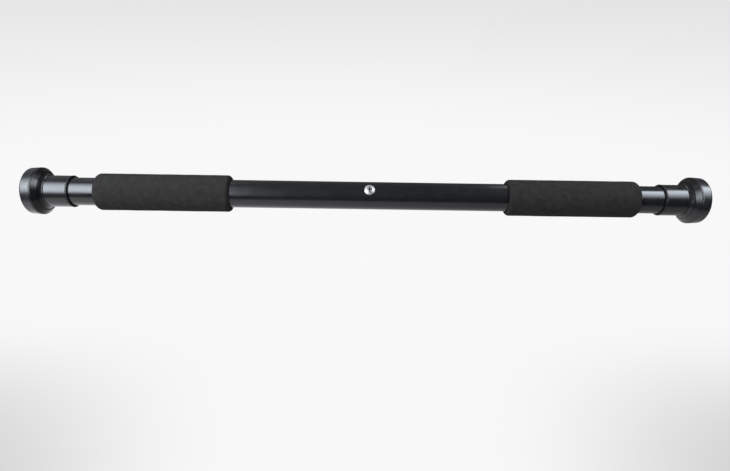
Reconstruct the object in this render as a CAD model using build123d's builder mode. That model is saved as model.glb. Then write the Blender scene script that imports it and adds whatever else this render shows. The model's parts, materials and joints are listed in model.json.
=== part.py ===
from build123d import *
import os
from math import cos, radians, sin, tan

# A doorway pull up bar. Its axis is X, with the middle of the bar at the origin and +Z up. Each foot is
# screwed out by hand: the right rod has a right-hand thread and the left one its mirror image, so that
# turning the tube against both feet lengthens the bar at both ends.

# Driving dimensions, in millimetres
closed_length = 776.0  # over both pads, with the feet screwed home
turns = 28  # of each foot, from home to its stop
thread_lead = 4.0
thread_diameter = 20.0
tube_diameter = 32.0
tube_wall = 1.5
collar_diameter = 36.0
collar_wall = 1.5
collar_mouth = 342.0  # from the middle of the bar
flange_diameter = 54.0
flange_mouth = 366.6  # where the flange's bell starts on the collar
bell_step = 370.8  # the shoulder round the bell, and its radii
bell_step_inner = 20.6
bell_step_outer = 22.0
pad_thickness = 11.0
pad_taper = 0.7  # of the pad's radius, from the flange to its face
pad_groove_radii = (14.0, 18.0, 22.0)  # of the rings moulded in the pad's face
pad_groove_width = 1.5
pad_groove_depth = 1.2
ring_lip_length = 1.4
grip_diameter = 42.0
grip_length = 152.0
grip_centre = 236.0  # from the middle of the bar
screw_angle = 45.0  # of the centre screw, from the front (-Y) towards the top

# Clearances
running = 0.05  # radial, between pieces that turn or slide on each other
slip = 0.05  # radial, between pieces pushed together and fixed
thread_crest_gap = 0.25
thread_flank_gap = 0.2
face_gap = 0.2  # between end faces that turn against each other

# Places along the bar, outwards from its middle
travel = turns * thread_lead
pad_face = closed_length / 2
flange_face = pad_face - pad_thickness
hub_length = 6.0
recess_floor = flange_face - 2.0
hub_face = recess_floor - hub_length
nut_face = hub_face - 1.0
nut_lip = 2.0
tube_end = nut_face - nut_lip
nut_length = 25.0
nut_back = nut_face - nut_length
crimp = nut_back + nut_length / 2
rod_shoulder = nut_back - travel - 0.5
collar_end = hub_face + 4.0

# Radii
tube_outer = tube_diameter / 2
tube_inner = tube_outer - tube_wall
collar_outer = collar_diameter / 2
collar_inner = collar_outer - collar_wall
flange_radius = flange_diameter / 2
boss_radius = 20.0
grip_radius = grip_diameter / 2
thread_crest = thread_diameter / 2
thread_root = thread_crest - 0.5 * thread_lead - thread_crest_gap
thread_middle = thread_crest - thread_lead / 4
nut_outer = tube_inner - slip
nut_bore = thread_crest + thread_crest_gap
spigot_radius = 7.0
screw_radius = 3.0
screw_hole_radius = 3.3

# The cross-recessed pan head screws, M6
head_radius = 6.0
head_height = 3.3
head_edge = 1.3  # the height of the head's side below its dome
recess_length = 6.4
recess_width = 1.5
recess_depth = 2.2

crimp_depth = 0.6
crimp_width = 3.0
counterbore_radius = collar_inner + 0.7
counterbore_end = collar_mouth + 12.5
snap_start = collar_mouth + 9.3
snap_length = 2.2
snap_height = 0.25
hex_across_flats = 13.0
hex_radius = hex_across_flats / 2 / cos(radians(30))
pad_recess_radius = 10.5
pad_recess_floor = pad_face - 5.5
washer_thickness = 1.5
clip_thickness = 1.0
clip_groove_radius = 6.5
stop_ring_length = 6.0
stop_ring_back = rod_shoulder - stop_ring_length
clip_start = stop_ring_back - clip_thickness - 0.1
rod_tip = clip_start - 2.0
sleeve_half_length = 120.0
sleeve_wall = 2.5
sleeve_outer = tube_inner - slip
seat_radius = tube_outer - 0.7  # the flat under the centre screw's head, from the bar's axis

screw_plane = Plane(
    origin=(0, 0, 0),
    x_dir=(1, 0, 0),
    z_dir=(0, -cos(radians(screw_angle)), sin(radians(screw_angle))),
)

os.makedirs("parts", exist_ok=True)


def save(piece, label):
    """Names a finished piece and writes its file."""
    piece.label = label
    export_step(piece, f"parts/{label}.step")


def save_pair(piece, label):
    """Writes a piece of the right end and its mirror image, which belongs to the left end."""
    save(piece, f"right_{label}")
    save(mirror(piece, about=Plane.YZ), f"left_{label}")


def thread_ridge(start, length, root, crest):
    """A right-hand trapezoidal ridge around the X axis, between a root and a crest radius."""
    flank = tan(radians(15))
    half_middle = (thread_lead / 2 - thread_flank_gap) / 2
    half_root = half_middle + abs(root - thread_middle) * flank
    half_crest = half_middle - abs(crest - thread_middle) * flank
    with BuildPart() as ridge:
        with BuildLine() as path:
            Helix(
                pitch=thread_lead,
                height=length,
                radius=thread_middle,
                center=(start, 0, 0),
                direction=(1, 0, 0),
            )
        begin = path.line @ 0
        with BuildSketch(Plane(begin, x_dir=begin - Vector(start, 0, 0), z_dir=path.line % 0)):
            with BuildLine():
                Polyline(
                    (root - thread_middle, -half_root),
                    (crest - thread_middle, -half_crest),
                    (crest - thread_middle, half_crest),
                    (root - thread_middle, half_root),
                    close=True,
                )
            make_face()
        sweep(path=path.line, is_frenet=True)
    return ridge.part


def pan_head_screw(length):
    """A pan head screw along +Z, with the underside of its head at z = 0."""
    with BuildPart() as screw:
        with BuildSketch(Plane.XZ):
            with BuildLine():
                Line((0, -length), (screw_radius - 0.8, -length))
                Line((screw_radius - 0.8, -length), (screw_radius, -length + 0.8))
                Line((screw_radius, -length + 0.8), (screw_radius, 0))
                Line((screw_radius, 0), (head_radius, 0))
                Line((head_radius, 0), (head_radius, head_edge))
                TangentArc((0, head_height), (head_radius, head_edge), tangent=(1, 0))
                Line((0, head_height), (0, -length))
            make_face()
        revolve(axis=Axis.Z)
        with BuildSketch(Plane.XY.offset(head_height)):
            Rectangle(recess_length, recess_width)
            Rectangle(recess_width, recess_length)
        extrude(amount=-recess_depth, taper=12, mode=Mode.SUBTRACT)
    return screw.part


# Main tube, rolled into a groove of the nut near each end
with BuildPart() as main_tube:
    with BuildSketch():
        with BuildLine():
            for radius in (tube_outer, tube_inner):
                Line((0, radius), (crimp - crimp_width / 2, radius))
                ThreePointArc(
                    (crimp - crimp_width / 2, radius),
                    (crimp, radius - crimp_depth),
                    (crimp + crimp_width / 2, radius),
                )
                Line((crimp + crimp_width / 2, radius), (tube_end, radius))
            Line((tube_end, tube_inner), (tube_end, tube_outer))
            Line((0, tube_inner), (0, tube_outer))
        make_face()
    revolve(axis=Axis.X)
    mirror(about=Plane.YZ)
    chamfer(main_tube.faces().filter_by(Axis.X).edges(), length=0.4)
    with BuildSketch(screw_plane.offset(seat_radius)):
        Circle(head_radius + 0.4)
    extrude(amount=tube_outer - seat_radius + 1, mode=Mode.SUBTRACT)
    with BuildSketch(screw_plane):
        Circle(screw_hole_radius)
    extrude(amount=tube_outer, mode=Mode.SUBTRACT)
save(main_tube.part, "main_tube")

# Centre sleeve, which stiffens the middle of the tube and takes the centre screw
with BuildPart() as centre_sleeve:
    with BuildSketch(Plane.YZ):
        Circle(sleeve_outer)
        Circle(sleeve_outer - sleeve_wall, mode=Mode.SUBTRACT)
    extrude(amount=sleeve_half_length, both=True)
    chamfer(centre_sleeve.faces().filter_by(Axis.X).edges(), length=0.4)
    with BuildSketch(screw_plane):
        Circle(screw_radius)
    extrude(amount=tube_outer, mode=Mode.SUBTRACT)
save(centre_sleeve.part, "centre_sleeve")

with BuildPart() as centre_screw:
    with Locations(screw_plane.offset(seat_radius)):
        add(pan_head_screw(length=9.0))
save(centre_screw.part, "centre_screw")

# Foam grip, a closed sleeve of its full outer shape
with BuildPart() as grip:
    with BuildSketch(Plane.YZ.offset(grip_centre - grip_length / 2)):
        Circle(grip_radius)
    extrude(amount=grip_length)
    fillet(grip.edges(), radius=4.5)
    with BuildSketch(Plane.YZ.offset(grip_centre - grip_length / 2)):
        Circle(tube_outer)
    extrude(amount=grip_length, mode=Mode.SUBTRACT)
save_pair(grip.part, "grip")

# Nut, pressed into the tube end and held by the rolled groove
nut_ridge_start = rod_shoulder + thread_lead * (int((nut_back - rod_shoulder) / thread_lead) + 1.5)
with BuildPart() as nut:
    with BuildSketch():
        with BuildLine():
            Line((nut_back, nut_bore + 0.6), (nut_back, nut_outer - 0.6))
            Line((nut_back, nut_outer - 0.6), (nut_back + 0.6, nut_outer))
            Line((nut_back + 0.6, nut_outer), (crimp - crimp_width / 2, nut_outer))
            ThreePointArc(
                (crimp - crimp_width / 2, nut_outer),
                (crimp, nut_outer - crimp_depth),
                (crimp + crimp_width / 2, nut_outer),
            )
            Line((crimp + crimp_width / 2, nut_outer), (tube_end, nut_outer))
            Line((tube_end, nut_outer), (tube_end, tube_outer - 0.3))
            Line((tube_end, tube_outer - 0.3), (nut_face - 0.5, tube_outer - 0.3))
            Line((nut_face - 0.5, tube_outer - 0.3), (nut_face, tube_outer - 0.8))
            Line((nut_face, tube_outer - 0.8), (nut_face, nut_bore + 0.6))
            Line((nut_face, nut_bore + 0.6), (nut_face - 0.6, nut_bore))
            Line((nut_face - 0.6, nut_bore), (nut_back + 0.6, nut_bore))
            Line((nut_back + 0.6, nut_bore), (nut_back, nut_bore + 0.6))
        make_face()
    revolve(axis=Axis.X)
    add(
        thread_ridge(
            nut_ridge_start,
            nut_face - 2.0 - nut_ridge_start,
            root=nut_bore + 0.05,
            crest=thread_root + thread_crest_gap,
        )
    )
save_pair(nut.part, "nut")

# Screw rod: a threaded bar with a hexagonal spigot in the flange and a round one for the stop ring
with BuildPart() as thread_envelope:
    with BuildSketch():
        with BuildLine():
            Polyline(
                (rod_shoulder, 0),
                (rod_shoulder, thread_crest - 1.2),
                (rod_shoulder + 2.2, thread_crest + 1.0),
                (hub_face, thread_crest + 1.0),
                (hub_face, 0),
                close=True,
            )
        make_face()
    revolve(axis=Axis.X)

with BuildPart() as screw_rod:
    with BuildSketch(Plane.YZ.offset(rod_shoulder - 2 * thread_lead)):
        Circle(thread_root)
    extrude(amount=hub_face - rod_shoulder + 4 * thread_lead)
    add(
        thread_ridge(
            rod_shoulder - thread_lead,
            hub_face - rod_shoulder + 2 * thread_lead,
            root=thread_root - 0.05,
            crest=thread_crest,
        )
    )
    add(thread_envelope.part, mode=Mode.INTERSECT)
    with BuildSketch(Plane.YZ.offset(rod_tip)):
        Circle(spigot_radius)
    extrude(amount=rod_shoulder - rod_tip)
    chamfer(screw_rod.edges().group_by(Axis.X)[0], length=0.8)
    with BuildSketch(Plane.YZ.offset(clip_start)):
        Circle(spigot_radius)
        Circle(clip_groove_radius, mode=Mode.SUBTRACT)
    extrude(amount=clip_thickness + 0.1, mode=Mode.SUBTRACT)
    with BuildSketch(Plane.YZ.offset(hub_face)):
        RegularPolygon(hex_radius, 6)
    extrude(amount=recess_floor - hub_face)
    with BuildSketch(Plane.YZ.offset(recess_floor)):
        Circle(screw_radius)
    extrude(amount=-20, mode=Mode.SUBTRACT)
save_pair(screw_rod.part, "screw_rod")

# Stop ring, which meets the nut when the foot is all the way out
with BuildPart() as stop_ring:
    with BuildSketch(Plane.YZ.offset(stop_ring_back)):
        Circle(tube_inner - 1.0)
        Circle(spigot_radius, mode=Mode.SUBTRACT)
    extrude(amount=stop_ring_length)
    chamfer(stop_ring.faces().filter_by(Axis.X).edges().sort_by(SortBy.RADIUS)[-2:], length=0.8)
save_pair(stop_ring.part, "stop_ring")

# Stop clip: a snap ring with its gap and two lugs with plier holes
with BuildPart() as stop_clip:
    with BuildSketch(Plane.YZ.offset(clip_start)):
        Circle(clip_groove_radius + 2.6)
        with Locations((0, clip_groove_radius + 1.9)):
            Rectangle(6.4, 4.2)
        Circle(clip_groove_radius, mode=Mode.SUBTRACT)
        with Locations((0, clip_groove_radius + 1.9)):
            Rectangle(1.6, 8.0, mode=Mode.SUBTRACT)
        with Locations((-2.0, clip_groove_radius + 2.2), (2.0, clip_groove_radius + 2.2)):
            Circle(0.7, mode=Mode.SUBTRACT)
    extrude(amount=clip_thickness)
save_pair(stop_clip.part, "stop_clip")

# Flange: a bell that widens from the collar's socket to the pad, with a hub for the rod and a recess for
# the pad's boss
with BuildPart() as flange:
    with BuildSketch():
        with BuildLine():
            FilletPolyline(
                (flange_mouth, collar_outer),
                (flange_mouth, collar_outer + 0.5),
                (flange_mouth + 1.4, collar_outer + 0.8),
                (bell_step, bell_step_inner),
                (bell_step + 0.2, bell_step_outer),
                (flange_face - 1.4, flange_radius),
                (flange_face - 0.3, flange_radius),
                radius=(0.2, 1.0, 0.5, 0.7, 0.8),
            )
            Polyline(
                (flange_face - 0.3, flange_radius),
                (flange_face, flange_radius - 0.3),
                (flange_face, boss_radius),
                (recess_floor, boss_radius),
                (recess_floor, 0),
                (hub_face, 0),
                (hub_face, collar_inner),
                (collar_end, collar_inner),
                (collar_end, collar_outer),
                (flange_mouth, collar_outer),
            )
        make_face()
    revolve(axis=Axis.X)
    with BuildSketch(Plane.YZ.offset(hub_face)):
        RegularPolygon(hex_radius, 6)
    extrude(amount=recess_floor - hub_face, mode=Mode.SUBTRACT)
save_pair(flange.part, "flange")

# Collar: a sleeve over the tube end, bored out at its mouth for the guide ring
with BuildPart() as collar:
    with BuildSketch(Plane.YZ.offset(collar_mouth)):
        Circle(collar_outer)
        Circle(collar_inner, mode=Mode.SUBTRACT)
    extrude(amount=collar_end - collar_mouth)
    with BuildSketch(Plane.YZ.offset(collar_mouth)):
        Circle(counterbore_radius)
    extrude(amount=counterbore_end - collar_mouth, mode=Mode.SUBTRACT)
    with BuildSketch(Plane.YZ.offset(snap_start - face_gap)):
        Circle(counterbore_radius + snap_height)
    extrude(amount=snap_length + 2 * face_gap, mode=Mode.SUBTRACT)
    fillet(collar.edges().group_by(Axis.X)[0].sort_by(SortBy.RADIUS)[-1], radius=0.4)
save_pair(collar.part, "collar")

# Guide ring: it snaps into the collar's mouth and slides along the tube
ring_bore = tube_outer + running
ring_outer = counterbore_radius - running
ring_lip = collar_outer + 0.3
ring_back = collar_mouth - ring_lip_length
with BuildPart() as guide_ring:
    with BuildSketch():
        with BuildLine():
            Polyline(
                (ring_back, ring_bore + 0.5),
                (ring_back + 0.5, ring_bore),
                (counterbore_end - face_gap, ring_bore),
                (counterbore_end - face_gap, ring_outer - 0.3),
                (counterbore_end - face_gap - 0.3, ring_outer),
                (snap_start + snap_length, ring_outer),
                (snap_start + snap_length - 0.4, ring_outer + snap_height),
                (snap_start + 0.4, ring_outer + snap_height),
                (snap_start, ring_outer),
                (collar_mouth - face_gap, ring_outer),
                (collar_mouth - face_gap, ring_lip - 0.4),
                (collar_mouth - face_gap - 0.4, ring_lip),
                (ring_back + 0.5, ring_lip),
            )
            TangentArc((ring_back + 0.5, ring_lip), (ring_back, ring_lip - 0.5), tangent=(-1, 0))
            Line((ring_back, ring_lip - 0.5), (ring_back, ring_bore + 0.5))
        make_face()
    revolve(axis=Axis.X)
save_pair(guide_ring.part, "guide_ring")

# End pad: rubber, with a boss in the flange, rings moulded in its face and a recess for its screw
with BuildPart() as end_pad:
    with BuildSketch():
        with BuildLine():
            FilletPolyline(
                (flange_face, 0),
                (flange_face, flange_radius - 0.4),
                (flange_face + 0.4, flange_radius),
                (pad_face, flange_radius - pad_taper),
                (pad_face, 0),
                radius=(0.2, 0.2, 1.8),
            )
            Line((pad_face, 0), (flange_face, 0))
        make_face()
    revolve(axis=Axis.X)
    with BuildSketch(Plane.YZ.offset(recess_floor)):
        Circle(boss_radius - slip)
    extrude(amount=flange_face - recess_floor)
    with BuildSketch(Plane.YZ.offset(recess_floor)):
        Circle(screw_hole_radius)
    extrude(amount=pad_face - recess_floor, mode=Mode.SUBTRACT)
    with BuildSketch(Plane.YZ.offset(pad_recess_floor)):
        Circle(pad_recess_radius)
    extrude(amount=pad_face - pad_recess_floor, mode=Mode.SUBTRACT)
    with BuildSketch(Plane.YZ.offset(pad_face)):
        for groove_radius in pad_groove_radii:
            with BuildSketch(mode=Mode.PRIVATE) as groove:
                Circle(groove_radius + pad_groove_width / 2)
                Circle(groove_radius - pad_groove_width / 2, mode=Mode.SUBTRACT)
            add(groove.sketch)
    extrude(amount=-pad_groove_depth, mode=Mode.SUBTRACT)
save_pair(end_pad.part, "end_pad")

with BuildPart() as pad_washer:
    with BuildSketch(Plane.YZ.offset(pad_recess_floor)):
        Circle(9.0)
        Circle(screw_hole_radius, mode=Mode.SUBTRACT)
    extrude(amount=washer_thickness)
    chamfer(pad_washer.edges().group_by(Axis.X)[-1].sort_by(SortBy.RADIUS)[-1], length=0.3)
save_pair(pad_washer.part, "pad_washer")

with BuildPart() as pad_screw:
    with Locations(Plane.YZ.offset(pad_recess_floor + washer_thickness)):
        add(pan_head_screw(length=24.0))
save_pair(pad_screw.part, "pad_screw")
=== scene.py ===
import json
import math

import bmesh
import bpy
from mathutils import Matrix, Vector, noise


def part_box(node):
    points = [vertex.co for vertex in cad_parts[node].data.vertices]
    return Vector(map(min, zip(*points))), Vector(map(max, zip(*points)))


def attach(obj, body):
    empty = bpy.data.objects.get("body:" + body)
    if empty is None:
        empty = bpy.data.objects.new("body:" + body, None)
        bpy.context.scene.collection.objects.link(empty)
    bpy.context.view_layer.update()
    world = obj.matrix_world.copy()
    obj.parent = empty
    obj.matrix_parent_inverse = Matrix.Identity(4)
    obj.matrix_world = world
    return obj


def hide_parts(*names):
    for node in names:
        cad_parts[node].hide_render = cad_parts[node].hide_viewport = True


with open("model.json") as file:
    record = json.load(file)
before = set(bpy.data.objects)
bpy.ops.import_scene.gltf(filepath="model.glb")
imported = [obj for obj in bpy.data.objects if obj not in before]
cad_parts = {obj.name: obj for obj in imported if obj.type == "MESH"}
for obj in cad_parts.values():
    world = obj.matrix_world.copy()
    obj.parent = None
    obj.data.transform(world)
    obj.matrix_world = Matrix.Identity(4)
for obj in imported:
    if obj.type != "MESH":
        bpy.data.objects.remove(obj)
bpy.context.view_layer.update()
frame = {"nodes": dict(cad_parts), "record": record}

nodes = frame["nodes"]
SIDES = ("left", "right")
MM = 0.001
ALONG_BAR = Vector((1, 0, 0))

# ---------------------------------------------------------------- the view
LENS_MM = 24.66
SENSOR_MM = 36
VIEW_DISTANCE = 0.5846  # from the camera to the bar, along the view
VIEW_YAW = math.radians(1.064)  # the left end is the nearer one
VIEW_DOWN = math.radians(25.52)
VIEW_ROLL = math.radians(1.238)
BAR_RIGHT = 0.0049  # how far the bar's middle lies right of the view's centre, and above it
BAR_UP = 0.0465
SIGHT = VIEW_DOWN - math.atan(BAR_UP / VIEW_DISTANCE)  # the camera's elevation, seen from the bar


# ---------------------------------------------------------------- objects and meshes
def add_object(name, data):
    """Adds an object with this data to the scene."""
    piece = bpy.data.objects.new(name, data)
    bpy.context.scene.collection.objects.link(piece)
    return piece


def smooth_mesh(name, bm):
    """Makes a smoothly shaded mesh of a bmesh, which is freed."""
    mesh = bpy.data.meshes.new(name)
    bm.to_mesh(mesh)
    bm.free()
    mesh.shade_smooth()
    return mesh


# ---------------------------------------------------------------- material helpers
class Shader:
    """A Principled material that is built up node by node, in object space."""

    def __init__(self, name, **values):
        self.material = bpy.data.materials.new(name)
        self.material.use_nodes = True
        self.tree = self.material.node_tree
        self.bsdf = self.tree.nodes["Principled BSDF"]
        for key, value in values.items():
            self.bsdf.inputs[key.replace("_", " ")].default_value = value
        self.place = self.add("ShaderNodeTexCoord").outputs["Object"]
        self.normal = None

    def add(self, kind, links=None, **settings):
        """Adds a node; each of its inputs in links gets another node's output or a constant."""
        node = self.tree.nodes.new(kind)
        for key, value in settings.items():
            setattr(node, key, value)
        for key, value in (links or {}).items():
            socket = node.inputs[key]
            if isinstance(value, bpy.types.NodeSocket):
                self.tree.links.new(value, socket)
            else:
                socket.default_value = value
        return node

    def stretched(self, x, y, z):
        """Object coordinates scaled along each axis."""
        node = self.add("ShaderNodeVectorMath", {0: self.place, 1: (x, y, z)}, operation="MULTIPLY")
        return node.outputs["Vector"]

    def noise(self, size, detail=3.0, roughness=0.5, vector=None):
        """Noise with features of about this size, in metres."""
        links = {"Vector": vector or self.place, "Scale": 1 / size, "Detail": detail}
        links["Roughness"] = roughness
        return self.add("ShaderNodeTexNoise", links).outputs["Fac"]

    def cells(self, size):
        """Distance to the nearest of points scattered about this far apart."""
        links = {"Vector": self.place, "Scale": 1 / size}
        return self.add("ShaderNodeTexVoronoi", links).outputs["Distance"]

    def spread(self, value, low, high, to_low=0.0, to_high=1.0):
        """Maps a value's range onto another, clamped."""
        links = {"Value": value, 1: low, 2: high, 3: to_low, 4: to_high}
        return self.add("ShaderNodeMapRange", links).outputs["Result"]

    def vary(self, clouds, low=0.0, high=1.0):
        """Spreads a noise, most of which lies between 0.3 and 0.7, over this range."""
        return self.spread(clouds, 0.3, 0.7, low, high)

    def blend(self, factor, a, b):
        """Mixes two colours."""
        links = {"Factor": factor, 6: a, 7: b}
        return self.add("ShaderNodeMix", links, data_type="RGBA").outputs[2]

    def set(self, key, value):
        self.tree.links.new(value, self.bsdf.inputs[key])

    def bump(self, height, depth, strength):
        """Adds a bump of this depth in metres, over the ones before it."""
        links = {"Height": height, "Distance": depth, "Strength": strength}
        if self.normal is not None:
            links["Normal"] = self.normal
        self.normal = self.add("ShaderNodeBump", links).outputs["Normal"]
        self.set("Normal", self.normal)


def grey(value, blue=0.0):
    """A grey whose blue is stronger by this share, or weaker where the share is negative."""
    return (value, value * (1 + blue / 3), value * (1 + blue), 1.0)


def powder_coat(name, roughness):
    """Gloss black powder coat on steel: a faint orange peel, broad clouds and uneven gloss."""
    shader = Shader(name, Metallic=0.0, IOR=1.5)
    broad = shader.noise(12 * MM, detail=2.0)
    shader.set("Base Color", shader.blend(broad, grey(0.0055, 0.1), grey(0.0085, 0.15)))
    shader.set("Roughness", shader.vary(broad, roughness - 0.02, roughness + 0.04))
    shader.bump(shader.noise(0.9 * MM, detail=2.0), 0.012 * MM, 0.5)
    return shader.material


def moulded(name, value, roughness, grain=0.5 * MM, depth=0.03 * MM, gloss=0.5):
    """Moulded plastic or rubber with a fine spark-eroded grain and uneven gloss."""
    shader = Shader(name, Metallic=0.0, IOR=1.5, Specular_IOR_Level=gloss)
    broad = shader.noise(8 * MM, detail=4.0)
    shader.set("Base Color", shader.blend(broad, grey(value * 0.8, 0.05), grey(value * 1.25, 0.05)))
    shader.set("Roughness", shader.vary(broad, roughness - 0.05, roughness + 0.06))
    shader.bump(shader.noise(grain, detail=1.5), depth, 0.6)
    return shader.material


def foam():
    """Closed-cell foam: tiny open pores and a soft mottling."""
    shader = Shader("foam_grip", Metallic=0.0, Roughness=0.95, Specular_IOR_Level=0.12)
    mottle = shader.vary(shader.noise(6 * MM, detail=5.0, roughness=0.6))
    shader.set("Base Color", shader.blend(mottle, grey(0.0155, -0.2), grey(0.025, -0.14)))
    shader.bump(shader.noise(3.5 * MM), 0.35 * MM, 0.5)
    shader.bump(shader.spread(shader.cells(1.1 * MM), 0.0, 0.6), 0.18 * MM, 0.6)
    return shader.material


def plated(name, value, roughness, tint=(1.0, 1.0, 1.0), along=False):
    """Plated or bare steel with cloudy plating and fine marks, round the bar or along it."""
    shader = Shader(name, Metallic=1.0)
    broad = shader.noise(4 * MM, detail=4.0)
    low = tuple(value * 0.88 * share for share in tint) + (1.0,)
    high = tuple(value * 1.06 * share for share in tint) + (1.0,)
    shader.set("Base Color", shader.blend(broad, low, high))
    shader.set("Roughness", shader.vary(broad, roughness - 0.05, roughness + 0.08))
    marks = shader.stretched(40, 3000, 3000) if along else shader.stretched(4000, 60, 60)
    shader.bump(shader.noise(1.0, detail=2.0, vector=marks), 0.01 * MM, 0.4)
    return shader.material


def screw_plating(name):
    """Pale zinc plating, a little dull, with painted shade darkening the recess of the head where
    ambient occlusion finds it.
    """
    shader = Shader(name, Metallic=0.6)
    open_share = shader.add("ShaderNodeAmbientOcclusion", {"Distance": 3 * MM}).outputs["AO"]
    cloudy = shader.noise(2 * MM)
    pale = shader.blend(cloudy, grey(0.34), grey(0.44))
    # Painted shade: the base colour turns near black where ambient occlusion finds the recess of the
    # head.
    outside_painted_shade = shader.spread(open_share, 0.35, 0.85)
    shader.set("Base Color", shader.blend(outside_painted_shade, grey(0.03), pale))
    shader.set("Roughness", shader.vary(cloudy, 0.34, 0.44))
    return shader.material


finishes = {
    "tube_black": powder_coat("tube_black", 0.2),
    "collar_black": powder_coat("collar_black", 0.22),
    "foam_grip": foam(),
    "black_plastic_ring": moulded("black_plastic_ring", 0.004, 0.45),
    "black_plastic_flange": moulded("black_plastic_flange", 0.006, 0.24, depth=0.01 * MM, gloss=0.36),
    "pad_rubber": moulded("pad_rubber", 0.012, 0.23, grain=1 * MM, depth=0.01 * MM, gloss=0.56),
    "threaded_steel": plated("threaded_steel", 0.3, 0.36),
    "zinc_steel": plated("zinc_steel", 0.42, 0.34, tint=(1.0, 0.99, 0.96)),
    "sleeve_steel": plated("sleeve_steel", 0.42, 0.42, along=True),
    "spring_steel": plated("spring_steel", 0.1, 0.4),
    "screw_steel": screw_plating("screw_steel"),
}

for part in frame["record"]["subparts"]:
    target = nodes[part["node"]]
    target.data.materials.clear()
    target.data.materials.append(finishes[part["material_slot"]])


# ---------------------------------------------------------------- foam grips
GRIP_EDGE_LONG = 4.2 * MM  # the rounding at a grip's end, along it and across it
GRIP_EDGE_DEEP = 3.6 * MM
GRIP_EDGE_STEPS = 10
GRIP_AROUND = 128  # points round a grip
GRIP_STEP = 1.6 * MM  # from ring to ring along it
GRIP_SWELL = 0.15 * MM  # how far the foam stands out past the part's own radius
GRIP_UNEVEN = ((60, 0.12), (220, 0.05))  # waves per metre and height in mm, broad and fine


def grip_profile(length, outer, inner):
    """(place along the grip, radius) from one inner edge over the outside to the other."""
    points = [(0.0, inner), (0.0, outer - GRIP_EDGE_DEEP)]
    for i in range(1, GRIP_EDGE_STEPS + 1):
        angle = math.pi / 2 * i / GRIP_EDGE_STEPS
        x = GRIP_EDGE_LONG * (1 - math.cos(angle))
        points.append((x, outer - GRIP_EDGE_DEEP * (1 - math.sin(angle))))
    far_end = [(length - x, radius) for x, radius in reversed(points)]
    straight = length - 2 * GRIP_EDGE_LONG
    count = round(straight / GRIP_STEP)
    for i in range(1, count):
        points.append((GRIP_EDGE_LONG + straight * i / count, outer))
    return points + far_end


def foam_grip(side):
    """A closed sleeve over the tube, rounded at its ends and slightly uneven."""
    low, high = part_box(f"{side}_grip")
    outer = (high.z - low.z) / 2 + GRIP_SWELL
    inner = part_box("main_tube")[1].z
    bm = bmesh.new()
    rings = []
    for x, radius in grip_profile(high.x - low.x, outer, inner):
        share = (radius - inner) / (outer - inner)
        ring = []
        for i in range(GRIP_AROUND):
            angle = 2 * math.pi * i / GRIP_AROUND
            out = Vector((0, math.cos(angle), math.sin(angle)))
            point = Vector((low.x + x, 0, 0)) + out * radius
            uneven = sum(noise.noise(point * waves) * height * MM for waves, height in GRIP_UNEVEN)
            ring.append(bm.verts.new(point + out * uneven * share))
        rings.append(ring)
    for a, b in zip(rings, rings[1:] + rings[:1]):
        for i in range(GRIP_AROUND):
            j = (i + 1) % GRIP_AROUND
            bm.faces.new((a[i], a[j], b[j], b[i]))
    bmesh.ops.recalc_face_normals(bm, faces=bm.faces)
    mesh = smooth_mesh(f"{side}_foam_grip", bm)
    mesh.materials.append(finishes["foam_grip"])
    piece = add_object(f"{side}_foam_grip", mesh)
    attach(piece, "bar")
    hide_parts(f"{side}_grip")


for side in SIDES:
    foam_grip(side)


# ---------------------------------------------------------------- the camera
def place_camera():
    """Looks at the bar from the front and above, with the bar above the view's centre."""
    data = bpy.data.cameras.new("camera")
    data.lens = LENS_MM
    data.sensor_width = SENSOR_MM
    camera = add_object("camera", data)
    turn = (
        Matrix.Rotation(-VIEW_YAW, 4, "Z")
        @ Matrix.Rotation(math.pi / 2 - VIEW_DOWN, 4, "X")
        @ Matrix.Rotation(VIEW_ROLL, 4, "Z")
    )
    middle = turn @ Vector((BAR_RIGHT, BAR_UP, -VIEW_DISTANCE))
    camera.matrix_world = Matrix.Translation(-middle) @ turn
    bpy.context.scene.camera = camera


place_camera()


# ---------------------------------------------------------------- studio helpers
def emitter(name, colour, make_strength):
    """An emission material; make_strength adds nodes to its tree and returns their output."""
    material = bpy.data.materials.new(name)
    material.use_nodes = True
    tree = material.node_tree
    tree.nodes.clear()
    out = tree.nodes.new("ShaderNodeOutputMaterial")
    light = tree.nodes.new("ShaderNodeEmission")
    light.inputs["Color"].default_value = (*colour, 1.0)
    tree.links.new(light.outputs["Emission"], out.inputs["Surface"])
    tree.links.new(make_strength(tree), light.inputs["Strength"])
    return material


def ease(tree, value, low, high, to_low, to_high):
    """Maps a value's range onto another, clamped and with soft ends."""
    node = tree.nodes.new("ShaderNodeMapRange")
    node.interpolation_type = "SMOOTHSTEP"
    tree.links.new(value, node.inputs["Value"])
    for i, number in enumerate((low, high, to_low, to_high)):
        node.inputs[i + 1].default_value = number
    return node.outputs["Result"]


def multiply(tree, a, b):
    node = tree.nodes.new("ShaderNodeMath")
    node.operation = "MULTIPLY"
    tree.links.new(a, node.inputs[0])
    tree.links.new(b, node.inputs[1])
    return node.outputs["Value"]


def unsigned(tree, value):
    """A value without its sign."""
    node = tree.nodes.new("ShaderNodeMath")
    node.operation = "ABSOLUTE"
    tree.links.new(value, node.inputs[0])
    return node.outputs["Value"]


def coordinates(tree, system):
    """The X, Y and Z of a point in this coordinate system."""
    split = tree.nodes.new("ShaderNodeSeparateXYZ")
    tree.links.new(tree.nodes.new("ShaderNodeTexCoord").outputs[system], split.inputs["Vector"])
    return split.outputs["X"], split.outputs["Y"], split.outputs["Z"]


# ---------------------------------------------------------------- light panels
PANEL_DISTANCE = 1.0  # from the bar's axis
DAYLIGHT = (0.84, 0.91, 1.0)
TOP_LIGHT = (0.95, 0.94, 1.0)


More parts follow.
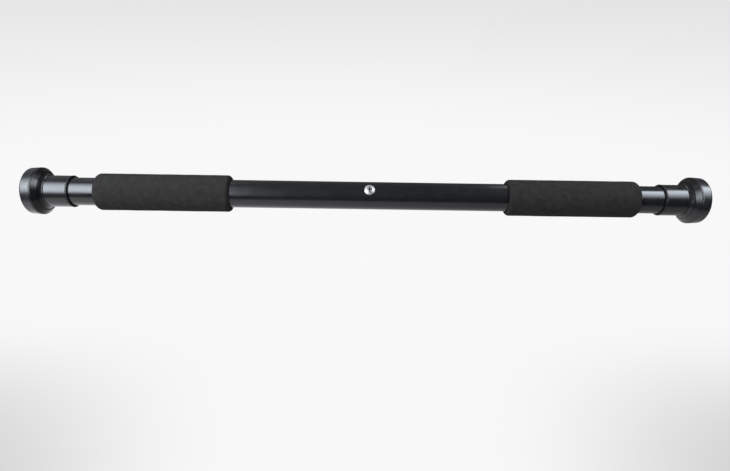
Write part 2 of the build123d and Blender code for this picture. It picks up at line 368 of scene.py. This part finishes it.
def panel(name, x_range, elevations, colour, strength, fades):
    """A soft light that faces the bar's axis, at degrees above the camera's line of sight.

    Its lower, upper and side edges fade over these shares of its height and width."""
    low, high = (math.radians(elevation) + SIGHT for elevation in elevations)
    middle = (low + high) / 2
    half = PANEL_DISTANCE * math.tan((high - low) / 2)
    width = (x_range[1] - x_range[0]) / 2
    low_fade, high_fade = 2 * half * fades[0], 2 * half * fades[1]
    side_fade = 2 * width * fades[2]

    def glow(tree):
        across, along, _ = coordinates(tree, "Object")
        value = ease(tree, along, -half, -half + low_fade, 0.0, strength)
        value = multiply(tree, value, ease(tree, along, half - high_fade, half, 1.0, 0.0))
        value = multiply(tree, value, ease(tree, across, -width, -width + side_fade, 0.0, 1.0))
        return multiply(tree, value, ease(tree, across, width - side_fade, width, 1.0, 0.0))

    mesh = bpy.data.meshes.new(name)
    corners = [(-width, -half, 0), (width, -half, 0), (width, half, 0), (-width, half, 0)]
    mesh.from_pydata(corners, [], [(0, 1, 2, 3)])
    mesh.materials.append(emitter(name, colour, glow))
    piece = add_object(name, mesh)
    up = Vector((0, math.sin(middle), math.cos(middle)))
    turn = Matrix((ALONG_BAR, up, ALONG_BAR.cross(up))).transposed().to_4x4()
    from_bar = Vector((0, -math.cos(middle), math.sin(middle))) * PANEL_DISTANCE
    centre = from_bar + ALONG_BAR * (x_range[0] + x_range[1]) / 2
    piece.matrix_world = Matrix.Translation(centre) @ turn
    piece.visible_camera = False


panel("left_panel", (-1.5, -0.41), (-22, 76), DAYLIGHT, 13.5, (0.36, 0.55, 0.2))
panel("right_panel", (0.7, 1.5), (6, 79), DAYLIGHT, 14.0, (0.8, 0.1, 0.1))
panel("left_top_panel", (-0.8, -0.42), (82, 122), TOP_LIGHT, 3.0, (0.2, 0.2, 0.2))
panel("right_top_panel", (0.42, 0.8), (82, 122), TOP_LIGHT, 3.0, (0.2, 0.2, 0.2))


# ---------------------------------------------------------------- the backdrop
FLOOR_Z = -1.4
WALL_RADIUS = 4.5
WALL_CURVE = 1.5  # the radius of the curve from floor to wall
WALL_CURVE_STEPS = 12
WALL_TOP = 6.0
WALL_AROUND = 96  # points round the backdrop

# Painted light: the backdrop glows rather than being lit, and its glow is painted darker, as painted
# shade, towards the sides in front of the bar and up the walls.
BACKDROP_GLOW = 0.94  # the middle of the floor
CORNER_GLOW = 0.62  # the floor to both sides, in front of the bar
CORNER_BEGINS = 0.2  # how far aside the floor begins to darken, and where it is darkest
CORNER_ENDS = 1.8
CORNER_BACK_DARK = 0.4  # how far behind the bar that darkening begins to weaken, and is gone
CORNER_BACK_CLEAR = 2.0
WALL_SHARE = 0.78  # the share of light that is left higher on the walls
WALL_DIMS_FROM = -1.1  # between these heights the light falls to that share
WALL_DIMS_TO = 0.8


def backdrop_profile():
    """(distance from the middle, height) of the floor, the curve, the wall and the ceiling."""
    flat = WALL_RADIUS - WALL_CURVE
    profile = [(0.0, FLOOR_Z), (flat, FLOOR_Z)]
    for i in range(1, WALL_CURVE_STEPS + 1):
        angle = math.pi / 2 * i / WALL_CURVE_STEPS
        rise = WALL_CURVE * (1 - math.cos(angle))
        profile.append((flat + WALL_CURVE * math.sin(angle), FLOOR_Z + rise))
    return profile + [(WALL_RADIUS, WALL_TOP), (0.0, WALL_TOP)]


def backdrop_glow(tree):
    """Painted light on the glowing backdrop: an even glow with painted shade falling off at both
    sides in front of the bar, and up the walls.
    """
    across, back, up = coordinates(tree, "Object")
    aside = ease(tree, unsigned(tree, across), CORNER_BEGINS, CORNER_ENDS, 0.0, 1.0)
    corner = multiply(tree, aside, ease(tree, back, CORNER_BACK_DARK, CORNER_BACK_CLEAR, 1.0, 0.0))
    wall = ease(tree, up, WALL_DIMS_FROM, WALL_DIMS_TO, 1.0, WALL_SHARE)
    return multiply(tree, wall, ease(tree, corner, 0.0, 1.0, BACKDROP_GLOW, CORNER_GLOW))


def backdrop():
    """A floor glowing pale with painted light, seen only by the camera, that curves up into walls all
    round, far enough away for every view.
    """
    bm = bmesh.new()
    rings = []
    for r, z in backdrop_profile():
        count = WALL_AROUND if r else 1
        turns = [2 * math.pi * i / WALL_AROUND for i in range(count)]
        rings.append([bm.verts.new((r * math.cos(turn), r * math.sin(turn), z)) for turn in turns])
    for a, b in zip(rings, rings[1:]):
        for i in range(WALL_AROUND):
            j = (i + 1) % WALL_AROUND
            corners = [a[i % len(a)], a[j % len(a)], b[j % len(b)], b[i % len(b)]]
            bm.faces.new(list(dict.fromkeys(corners)))
    mesh = smooth_mesh("backdrop", bm)
    mesh.materials.append(emitter("painted_backdrop_glow", (1.0, 1.0, 1.0), backdrop_glow))
    piece = add_object("backdrop", mesh)
    piece.visible_glossy = False
    piece.visible_diffuse = False


backdrop()


# ---------------------------------------------------------------- the room
# (height, brightness), where height 0 is straight down and 1 is straight up
ROOM_BY_HEIGHT = ((0.0, 0.8), (0.24, 0.8), (0.33, 0.08), (0.5, 0.09), (0.62, 0.16), (1.0, 0.16))
ROOM_BLUE = 1.04  # its blue against its red and green
ROOM_LEFT = 1.7  # strength towards the left and the right of the bar
ROOM_RIGHT = 0.65
ROOM_SIDES = 0.6  # the X of a direction where those strengths are reached


def room():
    """The light from all round: a pale floor, dim walls, and more from the left than the right."""
    world = bpy.data.worlds.new("room")
    bpy.context.scene.world = world
    world.use_nodes = True
    tree = world.node_tree
    background = tree.nodes["Background"]
    across, _, up = coordinates(tree, "Generated")
    height = tree.nodes.new("ShaderNodeMath")  # turns -1 to 1 into 0 to 1
    height.operation = "MULTIPLY_ADD"
    height.inputs[1].default_value = 0.5
    height.inputs[2].default_value = 0.5
    tree.links.new(up, height.inputs[0])
    ramp = tree.nodes.new("ShaderNodeValToRGB")
    tree.links.new(height.outputs["Value"], ramp.inputs["Fac"])
    stops = ramp.color_ramp.elements
    for place, _ in ROOM_BY_HEIGHT[1:-1]:
        stops.new(place)
    for stop, (place, value) in zip(stops, ROOM_BY_HEIGHT):
        stop.position = place
        stop.color = (value, value, value * ROOM_BLUE, 1)
    tree.links.new(ramp.outputs["Color"], background.inputs["Color"])
    strength = ease(tree, across, -ROOM_SIDES, ROOM_SIDES, ROOM_LEFT, ROOM_RIGHT)
    tree.links.new(strength, background.inputs["Strength"])


room()

bpy.context.scene.view_settings.view_transform = "Standard"
